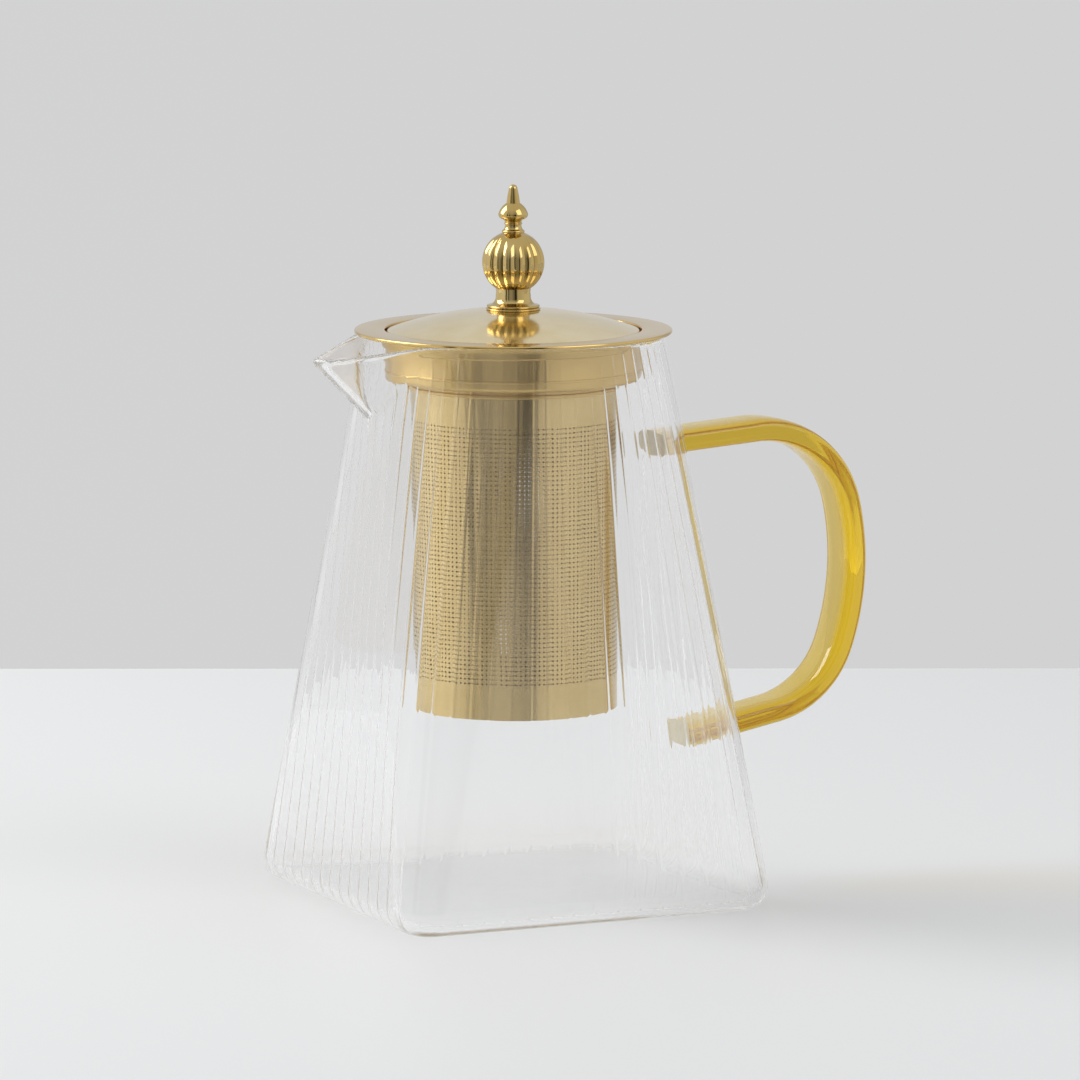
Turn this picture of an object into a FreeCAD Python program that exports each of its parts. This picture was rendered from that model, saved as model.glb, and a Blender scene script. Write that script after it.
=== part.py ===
import FreeCAD, Part
import math
import os

from FreeCAD import Vector

# Glass teapot: a square-footed glass pot with a round mouth, a lift-out metal strainer and a lid.
# Millimetres. +Z is up, the origin is the middle of the underside, the handle points along +X
# and the pouring lip along -X.

# Glass body
base_side = 110.0
base_corner = 11.0
base_round = 6.6
round_limit = 0.8
mouth_diameter = 81.0
body_height = 152.0
glass_wall = 2.4
floor_thickness = 2.4
floor_round = 4.2
rib_count = 64
rib_height = 0.3
wall_levels = 4

# Pouring lip
lip_reach = 17.2
lip_drop = 4.9
lip_half_width = 22.0
lip_tip_radius = 4.5
lip_depth = 21.0
lip_wall = 2.4

# Handle
strap_thickness = 6.5
strap_width = 15.5
strap_edge = 2.6
handle_top = 120.5
handle_rise = 4.2
handle_top_run = 26.3
top_bend_radius = 26.9
top_bend_angle = 81.1
grip_radius = 71.0
grip_angle = 32.4
low_bend_radius = 26.0
low_bend_angle = 59.8

# Strainer
flange_overhang = 2.0
flange_sheet = 1.0
sheet = 0.8
seat_depth = 3.7
ledge_width = 1.0
collar_depth = 13.5
shoulder_round = 2.6
basket_diameter = 55.0
basket_sheet = 0.5
basket_lip = 2.2
basket_bottom = 51.5

# Lid
lid_recess = 0.4
dome_rise = 5.8
skirt_depth = 7.5

# Finial
foot_diameter = 14.7
foot_height = 1.4
foot_bow = 0.31
cove_height = 1.9
cove_bow = 0.58
neck_diameter = 9.4
neck_height = 2.45
ball_diameter = 16.8
flute_count = 16
flute_depth = 0.5
ball_levels = 8
ring_diameter = 6.1
ring_height = 1.3
ring_bow = 0.3
waist_diameter = 5.0
waist_height = 1.2
flare_diameter = 5.4
flare_height = 1.1
bulb_diameter = 8.0
bulb_low_height = 1.4
bulb_low_bow = 0.2
bulb_top_height = 3.0
bulb_top_bow = 0.33
spire_diameter = 3.4
spire_height = 4.95
tip_diameter = 2.0

# Fastener
screw_diameter = 4.0
screw_length = 10.0
head_diameter = 7.6
head_height = 2.4
recess_width = 1.0
recess_depth = 1.4
washer_diameter = 9.0
washer_thickness = 0.8

# Clearances
collar_gap = 2.7
seat_gap = 0.1
lid_gap = 0.5
skirt_gap = 0.4
weld_gap = 0.1
screw_gap = 0.2
thread_gap = 0.05

# Heights and radii that follow from the sizes above
mouth_radius = mouth_diameter / 2
flange_bottom = body_height + seat_gap
flange_top = flange_bottom + flange_sheet
flange_radius = mouth_radius + flange_overhang
seat_outer = mouth_radius - glass_wall - rib_height - collar_gap
seat_inner = seat_outer - sheet
ledge_top = flange_top - seat_depth
collar_inner = seat_inner - ledge_width
collar_outer = collar_inner + sheet
shoulder_bottom = flange_top - collar_depth
basket_outer = basket_diameter / 2
basket_inner = basket_outer - basket_sheet
lid_rest = ledge_top + seat_gap
hem_bottom = lid_rest + sheet
hem_outer = seat_inner - lid_gap
hem_inner = hem_outer - sheet
dome_edge = flange_top - lid_recess
knob_seat_radius = foot_diameter / 2 + lid_gap
screw_radius = screw_diameter / 2

# Sideways bow of a quarter circle at its middle, as a share of its radius, and the smallest length
quarter_bow = 1 - math.sqrt(0.5)
tolerance = 0.001


def square_to_round(side, corner, low, radius, high):
    """Solid with a rounded-square foot, flat triangular faces and cone corners up to a round mouth."""
    flat = side / 2 - corner
    faces = []
    foot_edges = []
    mouth_edges = []
    for quarter in range(4):
        turn = FreeCAD.Rotation(Vector(0, 0, 1), 90 * quarter)

        def place(x, y, z):
            return turn.multVec(Vector(x, y, z))

        diagonal = flat + corner * math.sqrt(0.5)
        before = place(side / 2, -flat, low)
        start = place(side / 2, flat, low)
        end = place(flat, side / 2, low)
        top = place(radius, 0, high)
        foot_arc = Part.Arc(start, place(diagonal, diagonal, low), end).toShape()
        slant = radius * math.sqrt(0.5)
        mouth_arc = Part.Arc(top, place(slant, slant, high), place(0, radius, high)).toShape()
        faces.append(Part.Face(Part.makePolygon([before, start, top, before])))
        faces.append(Part.makeRuledSurface(foot_arc, mouth_arc))
        foot_edges += [Part.makeLine(before, start), foot_arc]
        mouth_edges.append(mouth_arc)
    faces.append(Part.Face(Part.Wire(foot_edges)))
    faces.append(Part.Face(Part.Wire(mouth_edges)))
    shell = Part.makeShell(faces)
    shell.sewShape()
    solid = Part.makeSolid(shell)
    if solid.Volume < 0:
        solid.reverse()
    return solid


def outline_point(side, corner, share):
    """Point and outward direction at a share of the way round a rounded square, from mid +X side."""
    flat = side / 2 - corner
    arc_length = corner * math.pi / 2
    quarter = math.floor(share * 4)
    along = (share * 4 - quarter) * (2 * flat + arc_length)
    if along < flat:
        point, direction = Vector(side / 2, along, 0), Vector(1, 0, 0)
    elif along < flat + arc_length:
        angle = (along - flat) / corner
        direction = Vector(math.cos(angle), math.sin(angle), 0)
        point = Vector(flat, flat, 0) + direction * corner
    else:
        point = Vector(2 * flat + arc_length - along, side / 2, 0)
        direction = Vector(0, 1, 0)
    turn = FreeCAD.Rotation(Vector(0, 0, 1), 90 * quarter)
    return turn.multVec(point), turn.multVec(direction)


def ribbed_ring(inset, height):
    """Closed wire of inward ridges, one per rib, inside the glass wall at a height."""
    share_up = height / body_height
    side = base_side + (mouth_diameter - base_side) * share_up - 2 * inset
    corner = base_corner + (mouth_radius - base_corner) * share_up - inset
    lift = Vector(0, 0, height)
    points = []
    for rib in range(rib_count):
        valley = outline_point(side, corner, rib / rib_count)[0]
        crest, outward = outline_point(side, corner, (rib + 0.5) / rib_count)
        points += [valley + lift, crest - outward * rib_height + lift]
    return Part.makePolygon(points + points[:1])


def ribbed_cavity():
    """Inside of the pot: ribs that fan out with the faces, drawn in where wall meets floor."""
    bend = quarter_bow * floor_round
    levels = [(floor_thickness, glass_wall + floor_round), (floor_thickness + bend, glass_wall + bend)]
    wall_low = floor_thickness + floor_round
    for level in range(wall_levels + 1):
        levels.append((wall_low + (body_height - wall_low) * level / wall_levels, glass_wall))
    rings = [ribbed_ring(inset, height) for height, inset in levels]
    return Part.makeLoft(rings, True, True)


def lip_beak():
    """Beak of the pouring lip: a cone from a point low on the face to a V with a round tip."""
    hinge = -math.sqrt(mouth_radius ** 2 - lip_half_width ** 2)
    tip = -mouth_radius - lip_reach
    slope = lip_drop / (hinge - tip)
    flank = math.atan2(lip_half_width, hinge - tip - lip_tip_radius)
    centre = tip + lip_tip_radius

    def on_lip(x, y):
        return Vector(x, y, body_height - slope * (hinge - x))

    side_x = centre - lip_tip_radius * math.sin(flank)
    side_y = lip_tip_radius * math.cos(flank)
    left = on_lip(hinge, -lip_half_width)
    right = on_lip(hinge, lip_half_width)
    tip_arc = Part.Arc(on_lip(side_x, side_y), on_lip(tip, 0), on_lip(side_x, -side_y)).toShape()
    wire = Part.Wire([
        Part.makeLine(right, on_lip(side_x, side_y)),
        tip_arc,
        Part.makeLine(on_lip(side_x, -side_y), left),
        Part.makeLine(left, right),
    ])
    wall_x = -base_side / 2 + (base_side - mouth_diameter) / 2 * (1 - lip_depth / body_height)
    root = Vector(wall_x + glass_wall / 2, 0, body_height - lip_depth)
    beak = Part.makeLoft([Part.Vertex(root), wire], True, True)
    above = Part.Face(Part.makePolygon([
        Vector(hinge, -lip_half_width, body_height),
        on_lip(2 * tip, -lip_half_width),
        Vector(2 * tip, -lip_half_width, body_height + lip_depth),
        Vector(hinge, -lip_half_width, body_height + lip_depth),
        Vector(hinge, -lip_half_width, body_height),
    ])).extrude(Vector(0, 2 * lip_half_width, 0))
    ridge = on_lip(tip, 0) - root
    inward = Vector(ridge.z, 0, -ridge.x).normalize() * lip_wall
    return beak, beak.translated(inward), above


def make_glass():
    """Pot with its pouring lip, and the plain outer shape that the handle is fused to."""
    outer = square_to_round(base_side, base_corner, 0.0, mouth_radius, body_height)
    foot_edges = [edge for edge in outer.Edges if edge.BoundBox.ZMax < tolerance]
    outer = outer.makeFillet(min(base_round, round_limit * base_corner), foot_edges)
    beak, channel, above_lip = lip_beak()
    pot = outer.fuse(beak).cut(above_lip).cut(channel)
    return pot.cut(ribbed_cavity()).Solids[0], outer


def make_handle(outer):
    """Flat glass strap along a line, three tangent arcs and a line, ending on the pot's face."""
    wall_slope = (base_side - mouth_diameter) / 2 / body_height
    wall_x = base_side / 2 - wall_slope * handle_top
    heading = math.radians(handle_rise)
    point = Vector(wall_x, 0, handle_top)
    ahead = Vector(math.cos(heading), 0, math.sin(heading))
    edges = [Part.makeLine(point - ahead * glass_wall, point + ahead * handle_top_run)]
    point = point + ahead * handle_top_run
    bends = [
        (top_bend_radius, top_bend_angle),
        (grip_radius, grip_angle),
        (low_bend_radius, low_bend_angle),
    ]
    for radius, angle in bends:
        centre = point + Vector(math.sin(heading), 0, -math.cos(heading)) * radius
        places = []
        for share in (0.5, 1.0):
            later = heading - math.radians(angle) * share
            places.append(centre + Vector(-math.sin(later), 0, math.cos(later)) * radius)
        edges.append(Part.Arc(point, places[0], places[1]).toShape())
        point = places[1]
        heading -= math.radians(angle)
    ahead = Vector(math.cos(heading), 0, math.sin(heading))
    to_wall = (point.x - base_side / 2 + wall_slope * point.z) / -ahead.x + 2 * glass_wall
    edges.append(Part.makeLine(point, point + ahead * to_wall))
    path = Part.Wire(edges)
    section = strap_section(edges[0])
    strap = path.makePipeShell([section], True, False)
    print("handle volume over section times length:", round(strap.Volume / (
        Part.Face(section).Area * path.Length), 4))
    return max(strap.cut(outer).Solids, key=lambda piece: piece.Volume)


def strap_section(first_edge):
    """Rounded rectangle across the start of the handle's path."""
    half_thick = strap_thickness / 2
    half_wide = strap_width / 2
    straight_thick = half_thick - strap_edge
    straight_wide = half_wide - strap_edge
    bow = strap_edge * math.sqrt(0.5)
    corners = []
    for sign_wide, sign_thick in ((1, 1), (-1, 1), (-1, -1), (1, -1)):
        middle = Vector(sign_wide * straight_wide, sign_thick * straight_thick, 0)
        wide_end = middle + Vector(sign_wide * strap_edge, 0, 0)
        thick_end = middle + Vector(0, sign_thick * strap_edge, 0)
        bulge = middle + Vector(sign_wide * bow, sign_thick * bow, 0)
        ends = (wide_end, thick_end) if sign_wide == sign_thick else (thick_end, wide_end)
        corners.append((ends[0], bulge, ends[1]))
    edges = []
    for index, (start, bulge, end) in enumerate(corners):
        edges.append(Part.Arc(start, bulge, end).toShape())
        edges.append(Part.makeLine(end, corners[(index + 1) % 4][0]))
    wire = Part.Wire(edges)
    ahead = first_edge.tangentAt(first_edge.FirstParameter)
    across = Vector(0, 1, 0)
    frame = FreeCAD.Rotation(across, ahead.cross(across), ahead, "ZXY")
    wire.Placement = FreeCAD.Placement(first_edge.valueAt(first_edge.FirstParameter), frame)
    return wire


def turned(steps):
    """Solid of revolution about Z: a step is a (radius, height) end of a line, or an arc's middle and end."""
    edges = []
    last = Vector(steps[0][0], 0, steps[0][1])
    for step in steps[1:] + [steps[0]]:
        end = Vector(step[-2], 0, step[-1])
        if len(step) == 4:
            middle = Vector(step[0], 0, step[1])
            edges.append(Part.Arc(last, middle, end).toShape())
        elif last.distanceToPoint(end) > tolerance:
            edges.append(Part.makeLine(last, end))
        last = end
    face = Part.Face(Part.Wire(edges))
    return face.revolve(Vector(0, 0, 0), Vector(0, 0, 1), 360)


def bowed(start, end, bow):
    """Arc step from one upward point to the next that stands out from their chord by a bow."""
    along = Vector(end[0] - start[0], 0, end[1] - start[1])
    outward = Vector(along.z, 0, -along.x).normalize() * bow
    return ((start[0] + end[0]) / 2 + outward.x, (start[1] + end[1]) / 2 + outward.z, end[0], end[1])


def ring(inner, outer, low, high):
    """Plain turned ring."""
    return turned([(inner, low), (outer, low), (outer, high), (inner, high)])


def make_strainer():
    """Flanged collar with the lid's ledge, the basket's wall and the basket's floor."""
    edge = flange_sheet / 2
    inner_round = shoulder_round - sheet
    shoulder_top = shoulder_bottom + sheet
    spigot_inner = basket_outer + weld_gap
    collar = turned([
        (seat_inner, flange_top),
        (flange_radius - edge, flange_top),
        (flange_radius, flange_top - edge, flange_radius - edge, flange_bottom),
        (seat_outer, flange_bottom),
        (seat_outer, ledge_top - sheet),
        (collar_outer, ledge_top - sheet),
        (collar_outer, shoulder_bottom + shoulder_round),
        (collar_outer - quarter_bow * shoulder_round, shoulder_bottom + quarter_bow * shoulder_round,
         collar_outer - shoulder_round, shoulder_bottom),
        (spigot_inner + sheet, shoulder_bottom),
        (spigot_inner + sheet, shoulder_bottom - basket_lip),
        (spigot_inner, shoulder_bottom - basket_lip),
        (spigot_inner, shoulder_bottom),
        (basket_inner, shoulder_bottom),
        (basket_inner, shoulder_top),
        (collar_inner - inner_round, shoulder_top),
        (collar_inner - quarter_bow * inner_round, shoulder_top + quarter_bow * inner_round,
         collar_inner, shoulder_top + inner_round),
        (collar_inner, ledge_top),
        (seat_inner, ledge_top),
    ])
    floor_top = basket_bottom + basket_sheet
    wall = ring(basket_inner, basket_outer, floor_top, shoulder_bottom)
    floor = Part.makeCylinder(basket_outer, basket_sheet, Vector(0, 0, basket_bottom))
    return collar, wall, floor


def dome_height(radius, offset):
    """Height of the dome's sphere, moved in by an offset, at a radius from the axis."""
    sphere = (hem_outer ** 2 + dome_rise ** 2) / (2 * dome_rise)
    centre = dome_edge + dome_rise - sphere
    return centre + math.sqrt((sphere - offset) ** 2 - radius ** 2)


def make_lid():
    """Dome with a flat seat for the finial and a turned-down hem, and the ring welded under the hem."""
    knob_seat = dome_height(knob_seat_radius, 0.0)
    under_seat = knob_seat - sheet
    under_radius = knob_seat_radius - sheet * knob_seat_radius / hem_outer
    hole = screw_radius + screw_gap
    middle = (knob_seat_radius + hem_outer) / 2
    under_middle = (under_radius + hem_inner) / 2
    dome = turned([
        (hole, knob_seat),
        (knob_seat_radius, knob_seat),
        (middle, dome_height(middle, 0.0), hem_outer, dome_edge),
        (hem_outer, hem_bottom),
        (hem_inner, hem_bottom),
        (hem_inner, dome_height(hem_inner, sheet)),
        (under_middle, dome_height(under_middle, sheet), under_radius, under_seat),
        (hole, under_seat),
    ])
    skirt_outer = collar_inner - skirt_gap
    skirt_inner = skirt_outer - sheet
    skirt = turned([
        (skirt_inner, lid_rest - skirt_depth),
        (skirt_outer, lid_rest - skirt_depth),
        (skirt_outer, lid_rest),
        (hem_outer, lid_rest),
        (hem_outer, hem_bottom),
        (skirt_inner, hem_bottom),
    ])
    return dome, skirt, knob_seat


def fluted_ring(radius, height):
    """Closed wire of outward scallops, one per flute of the ball."""
    valley = radius * (1 - flute_depth * 2 / ball_diameter)
    arcs = []
    for flute in range(flute_count):
        places = []
        for share, reach in ((0.0, valley), (0.5, radius), (1.0, valley)):
            angle = 2 * math.pi * (flute + share) / flute_count
            places.append(Vector(reach * math.cos(angle), reach * math.sin(angle), height))
        arcs.append(Part.Arc(*places).toShape())
    return Part.Wire(arcs)


def fluted_globe(low, centre, high):
    """Ball of the finial, cut off flat below and above, with flutes from pole to pole."""
    ball = ball_diameter / 2
    first = math.asin((low - centre) / ball)
    last = math.asin((high - centre) / ball)
    rings = []
    for level in range(ball_levels + 1):
        latitude = first + (last - first) * level / ball_levels
        rings.append(fluted_ring(ball * math.cos(latitude), centre + ball * math.sin(latitude)))
    return Part.makeLoft(rings, True, False)


def make_finial(seat):
    """Turned casting with a fluted ball, stacked upwards from the lid's seat."""
    foot = foot_diameter / 2
    neck = neck_diameter / 2
    ball = ball_diameter / 2
    ring_radius = ring_diameter / 2
    waist = waist_diameter / 2
    bulb = bulb_diameter / 2
    spire = spire_diameter / 2
    tip = tip_diameter / 2
    foot_edge = foot - foot_bow
    ring_edge = ring_radius - ring_bow
    flare = flare_diameter / 2
    cove_low = seat + foot_height
    cove_high = cove_low + cove_height
    ball_low = cove_high + neck_height
    ball_centre = ball_low + math.sqrt(ball ** 2 - neck ** 2)
    ball_high = ball_centre + math.sqrt(ball ** 2 - ring_radius ** 2)
    ring_high = ball_high + ring_height
    waist_high = ring_high + waist_height
    flare_high = waist_high + flare_height
    bulb_wide = flare_high + bulb_low_height
    bulb_high = bulb_wide + bulb_top_height
    spire_high = bulb_high + spire_height
    stem = turned([
        (0, seat),
        (foot_edge, seat),
        bowed((foot_edge, seat), (foot_edge, cove_low), foot_bow),
        bowed((foot_edge, cove_low), (neck, cove_high), -cove_bow),
        (neck, ball_low),
        (0, ball_low),
    ])
    crown = turned([
        (0, ball_high),
        (ring_edge, ball_high),
        bowed((ring_edge, ball_high), (ring_edge, ring_high), ring_bow),
        (waist, ring_high),
        (waist, waist_high),
        (flare, flare_high),
        bowed((flare, flare_high), (bulb, bulb_wide), bulb_low_bow),
        bowed((bulb, bulb_wide), (spire, bulb_high), bulb_top_bow),
        (tip, spire_high - tip),
        bowed((tip, spire_high - tip), (0, spire_high), quarter_bow * tip),
    ])
    globe = fluted_globe(ball_low, ball_centre, ball_high)
    screw_end = seat - sheet - washer_thickness + screw_length
    bore = Part.makeCylinder(screw_radius + thread_gap, screw_end - seat + screw_gap, Vector(0, 0, seat))
    return stem.fuse([globe, crown]).cut(bore).removeSplitter().Solids[0]


def make_fastener(seat):
    """Cross-recessed screw and its washer under the lid."""
    washer_top = seat - sheet
    washer_bottom = washer_top - washer_thickness
    head_bottom = washer_bottom - head_height
    washer = ring(screw_radius + screw_gap, washer_diameter / 2, washer_bottom, washer_top)
    head = head_diameter / 2
    bevel = head_height / 4
    screw = turned([
        (0, head_bottom),
        (head - bevel, head_bottom),
        (head, head_bottom + bevel),
        (head, washer_bottom),
        (screw_radius, washer_bottom),
        (screw_radius, washer_bottom + screw_length),
        (0, washer_bottom + screw_length),
    ])
    for length, width in ((head, recess_width), (recess_width, head)):
        corner = Vector(-length / 2, -width / 2, head_bottom)
        screw = screw.cut(Part.makeBox(length, width, recess_depth, corner))
    return screw.Solids[0], washer


def make_parts():
    """Every piece by its node's name."""
    body, outer = make_glass()
    collar, wall, floor = make_strainer()
    dome, skirt, knob_seat = make_lid()
    screw, washer = make_fastener(knob_seat)
    return {
        "glass_body": body,
        "glass_handle": make_handle(outer),
        "strainer_collar": collar,
        "strainer_wall": wall,
        "strainer_floor": floor,
        "lid_dome": dome,
        "lid_skirt": skirt,
        "finial_knob": make_finial(knob_seat),
        "knob_screw": screw,
        "knob_washer": washer,
    }


os.makedirs("parts", exist_ok=True)
for name, shape in make_parts().items():
    shape.exportStep("parts/" + name + ".step")
    box = shape.BoundBox
    print(name, shape.ShapeType, "solids", len(shape.Solids), "valid", shape.isValid(),
          "volume", round(shape.Volume, 1), "X", round(box.XMin, 2), round(box.XMax, 2),
          "Y", round(box.YMin, 2), round(box.YMax, 2), "Z", round(box.ZMin, 2), round(box.ZMax, 2))
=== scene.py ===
# %% [markdown]
# A ribbed glass teapot with a gold strainer
#
# The teapot's sizes, joints and weights already exist as plain solids. This lesson dresses them: it
# blows the glass, turns the metal, punches the basket and lights the lot like a product photograph.
# Everything is built in the solids' own frame, so a piece goes where its solid says and moves with it.

import math

import bmesh
import bpy
import numpy as np
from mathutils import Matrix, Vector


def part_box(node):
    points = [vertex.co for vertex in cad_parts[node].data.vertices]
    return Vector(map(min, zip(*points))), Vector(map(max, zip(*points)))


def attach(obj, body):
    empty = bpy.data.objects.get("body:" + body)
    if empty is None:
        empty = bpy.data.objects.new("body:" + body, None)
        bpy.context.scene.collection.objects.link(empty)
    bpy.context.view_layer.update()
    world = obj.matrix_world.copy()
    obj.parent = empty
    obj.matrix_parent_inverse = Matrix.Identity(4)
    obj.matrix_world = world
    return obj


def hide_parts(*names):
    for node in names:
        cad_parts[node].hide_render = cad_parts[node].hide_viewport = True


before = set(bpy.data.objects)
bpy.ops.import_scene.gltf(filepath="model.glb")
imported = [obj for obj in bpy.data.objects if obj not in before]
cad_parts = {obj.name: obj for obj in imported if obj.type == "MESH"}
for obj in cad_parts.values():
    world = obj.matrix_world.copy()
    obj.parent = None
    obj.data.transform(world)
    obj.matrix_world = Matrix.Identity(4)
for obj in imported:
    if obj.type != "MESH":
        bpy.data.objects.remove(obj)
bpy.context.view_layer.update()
MM = 0.001


def node_box(node):
    """Lowest and highest corner of a solid, in millimetres."""
    return [np.array(corner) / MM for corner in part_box(node)]


print("solids:", sorted(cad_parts))

# %% [markdown]
# Skins over rings
#
# Nearly every piece here is a stack of rings: a turned metal part is circles on one axis, the glass is
# rounded squares that grow into a circle, and the handle is one section carried along a line. A skin
# over rings of points shares its points from face to face, so seams and poles are closed from the start.

# %% Helpers that make a mesh piece


def skin(rings, closed=False):
    """Points and faces over rings of points. A ring of one point is a pole; closed joins last to first."""
    starts = np.cumsum([0] + [len(ring) for ring in rings])
    pairs = [(index, index + 1) for index in range(len(rings) - 1)]
    if closed:
        pairs.append((len(rings) - 1, 0))
    faces = []
    for low, high in pairs:
        a, b = int(starts[low]), int(starts[high])
        count = max(len(rings[low]), len(rings[high]))
        for i in range(count):
            j = (i + 1) % count
            if len(rings[low]) == 1:
                faces.append((a, b + j, b + i))
            elif len(rings[high]) == 1:
                faces.append((a + i, a + j, b))
            else:
                faces.append((a + i, a + j, b + j, b + i))
    return np.concatenate(rings), faces


def finish_mesh(mesh, sharp_angle):
    """Faces outward, shaded smooth except across edges sharper than the angle."""
    edit = bmesh.new()
    edit.from_mesh(mesh)
    bmesh.ops.recalc_face_normals(edit, faces=edit.faces)
    edit.to_mesh(mesh)
    edit.free()
    mesh.shade_smooth()
    mesh.set_sharp_from_angle(angle=math.radians(sharp_angle))


def make_piece(name, points, faces, material=None, sharp_angle=40.0):
    """An object at the origin with its place in its mesh, from millimetre points."""
    mesh = bpy.data.meshes.new(name)
    mesh.from_pydata((np.asarray(points) * MM).tolist(), [], faces)
    finish_mesh(mesh, sharp_angle)
    if material:
        mesh.materials.append(material)
    piece = bpy.data.objects.new(name, mesh)
    bpy.context.scene.collection.objects.link(piece)
    return piece


def circle(radius, height, steps):
    """Ring of points round the axis, or the axis point itself where the radius is nothing."""
    if radius < 1e-6:
        return np.array([[0.0, 0.0, height]])
    angle = 2 * np.pi * np.arange(steps) / steps
    return np.stack([radius * np.cos(angle), radius * np.sin(angle), np.full(steps, height)], -1)


def wear(piece, body, slot, *nodes):
    """The piece rides on a body and stands for its solids. Its slot is not used."""
    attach(piece, body)
    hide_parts(*nodes)
    print(piece.name, "on", body, "has", len(piece.data.polygons), "faces")


# %% [markdown]
# Nodes from a script
#
# Materials and Geometry Nodes are both trees of nodes. One small function adds a node, sets it and
# links it, and takes a value, a socket or another node for each input, so a tree reads like a recipe.
# Colours are written as the hex values that a paint chart gives and turned to linear light here.

# %% Helpers that build node trees


def add(tree, kind, inputs=None, **settings):
    """A new node with its settings. An input is a value, an output socket, or a node's first output."""
    node = tree.nodes.new(kind)
    for name, value in settings.items():
        setattr(node, name, value)
    for key, value in (inputs or {}).items():
        if isinstance(value, bpy.types.Node):
            value = value.outputs[0]
        if isinstance(value, bpy.types.NodeSocket):
            tree.links.new(value, node.inputs[key])
        else:
            node.inputs[key].default_value = value
    return node


def linear(colour):
    """Linear RGBA of an sRGB hex colour such as #C0A060."""
    shares = [int(colour[i:i + 2], 16) / 255 for i in (1, 3, 5)]
    return [s / 12.92 if s <= 0.04045 else ((s + 0.055) / 1.055) ** 2.4 for s in shares] + [1.0]


def blank_material(name):
    """A material, its empty tree and the output that ends it."""
    material = bpy.data.materials.new(name)
    material.use_nodes = True
    material.node_tree.nodes.clear()
    return material, material.node_tree, add(material.node_tree, "ShaderNodeOutputMaterial")


def new_tree(name, **sizes):
    """A Geometry Nodes tree with a geometry input and named sizes, and the sockets that give them."""
    tree = bpy.data.node_groups.new(name, "GeometryNodeTree")
    tree.interface.new_socket("Geometry", in_out="INPUT", socket_type="NodeSocketGeometry")
    for size, kind in sizes.items():
        tree.interface.new_socket(size, in_out="INPUT", socket_type="NodeSocket" + kind)
    tree.interface.new_socket("Geometry", in_out="OUTPUT", socket_type="NodeSocketGeometry")
    return tree, add(tree, "NodeGroupInput").outputs


def end_tree(tree, geometry, material):
    """Ends a tree in real geometry with its material."""
    real = add(tree, "GeometryNodeRealizeInstances", {"Geometry": geometry})
    dressed = add(tree, "GeometryNodeSetMaterial", {"Geometry": real, "Material": material})
    add(tree, "NodeGroupOutput", {0: dressed})
    return tree


def run_tree(piece, tree, sharp_angle=40.0, **sizes):
    """Runs a tree on a piece and keeps the result as the piece's own plain mesh."""
    modifier = piece.modifiers.new(tree.name, "NODES")
    modifier.node_group = tree
    for item in tree.interface.items_tree:
        if item.name in sizes:
            modifier[item.identifier] = sizes[item.name]
    done = piece.evaluated_get(bpy.context.evaluated_depsgraph_get())
    mesh = bpy.data.meshes.new_from_object(done)
    piece.modifiers.clear()
    piece.data = mesh
    finish_mesh(mesh, sharp_angle)


# %% [markdown]
# Clear blown glass
#
# The body is borosilicate glass, blown into a mould and fire-polished. Its surface is mirror smooth and
# only faintly wavy, so it is seen by what it bends: ribs, rim and foot draw lines of light and dark.
# Lamp light is let straight through, dimmed a little at each face, so that the pot's shadow is a pale one.

# %% Clear glass


def rippled(tree, width, depth, detail=1.0):
    """Bump of slow waves on Object coordinates, with their width and depth in millimetres."""
    place = add(tree, "ShaderNodeTexCoord").outputs["Object"]
    waves = add(tree, "ShaderNodeTexNoise", {"Vector": place, "Scale": 1 / (width * MM), "Detail": detail})
    return add(tree, "ShaderNodeBump", {"Height": waves, "Distance": depth * MM, "Strength": 1.0})


def polished_glass(name, colour, ior, lamp_colour, wave_width, wave_depth):
    """Fire-polished glass. Lamp light goes straight through it and takes on the lamp colour."""
    material, tree, output = blank_material(name)
    glass = add(tree, "ShaderNodeBsdfPrincipled", {
        "Base Color": linear(colour), "Roughness": 0.0, "IOR": ior, "Transmission Weight": 1.0,
        "Normal": rippled(tree, wave_width, wave_depth)})
    clear = add(tree, "ShaderNodeBsdfTransparent", {"Color": linear(lamp_colour)})
    lamp_ray = add(tree, "ShaderNodeLightPath").outputs["Is Shadow Ray"]
    both = add(tree, "ShaderNodeMixShader", {0: lamp_ray, 1: glass, 2: clear})
    tree.links.new(both.outputs[0], output.inputs["Surface"])
    return material, tree, output


def blown_glass():
    """Borosilicate glass, mould-blown: smooth, clear, with slow waves left by the mould."""
    return polished_glass("borosilicate_glass_mould_blown", "#FFFFFF", ior=1.47, lamp_colour="#FCFDFD",
                          wave_width=14.0, wave_depth=0.012)[0]


clear_glass = blown_glass()
print("material:", clear_glass.name)

# %% [markdown]
# The shape of the glass
#
# The foot is a rounded square and the mouth a circle, and both are rounded squares once the corner may
# grow to half the side. A ring at any height is therefore one outline with two numbers that change
# evenly with height. Points are spread by their share of the way round, as the ribs of the real pot are.

# %% Outline of the glass at a height
base_side = 110.0
base_corner = 11.0
foot_round = 6.6
mouth_radius = 40.5
glass_wall = 2.4
floor_thickness = 2.4
floor_round = 4.2
rib_count = 64
rib_height = 0.09
groove_half = 0.14
groove_steps = groove_half * np.array([0.0, 0.35, 0.7, 1.0, 1.3, 1.8])
within = np.concatenate([groove_steps, [0.5], 1 - groove_steps[:0:-1]])
columns = len(within) * rib_count
body_height = node_box("glass_body")[1][2]
share = (np.arange(rib_count)[:, None] + within).ravel() / rib_count
wall_slope = (base_side / 2 - mouth_radius) / body_height


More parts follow.
